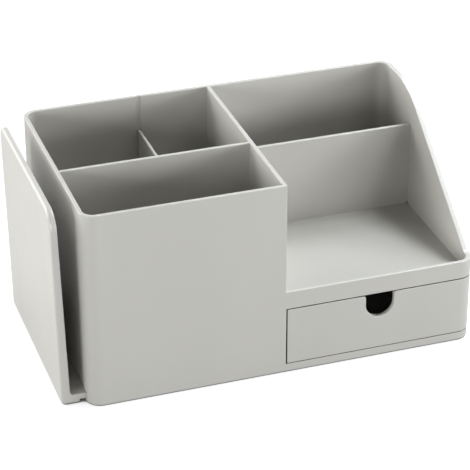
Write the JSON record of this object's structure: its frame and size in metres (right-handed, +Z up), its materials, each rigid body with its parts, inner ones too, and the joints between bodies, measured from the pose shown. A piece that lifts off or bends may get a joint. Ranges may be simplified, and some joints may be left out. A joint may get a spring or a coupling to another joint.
{
  "type": "desktop storage box",
  "caption": "Moulded desk organizer with upright compartments, a stepped right side with shelf and drawer, and a pull-out side plate.",
  "frame": {"origin": "on the desk, below the middle of the box and its side plate together", "axes": "+Z up, +X to the right along the front (the longest extent), +Y from the front to the back"},
  "size_m": [0.2673, 0.15, 0.1306],
  "materials": {
    "shell": "light warm-grey moulded plastic, satin to glossy",
    "drawer": "light warm-grey moulded plastic, satin to glossy",
    "plate": "light warm-grey moulded plastic, satin to glossy",
    "cover": "fine-textured plastic",
    "screw": "zinc-plated",
    "pad": "soft grey rubber"
  },
  "bodies": {
    "base": {"body_shell": "shell", "bottom_cover": "cover", "cover_screws": "screw", "foot_pads": "pad"},
    "drawer": {"drawer": "drawer"},
    "side_plate": {"side_plate": "plate"},
    "divider": {"short_divider": "shell"}
  },
  "joints": [
    {"name": "drawer_slide", "type": "slide", "parent": "base", "child": "drawer", "axis": [0, -1, 0], "range_m": [0, 0.08]},
    {"name": "side_plate_slide", "type": "slide", "parent": "base", "child": "side_plate", "axis": [-1, 0, 0], "range_m": [-0.004, 0.0597]},
    {"name": "divider_lift", "type": "slide", "parent": "base", "child": "divider", "axis": [0, 0, 1], "range_m": [0, 0.125]}
  ]
}
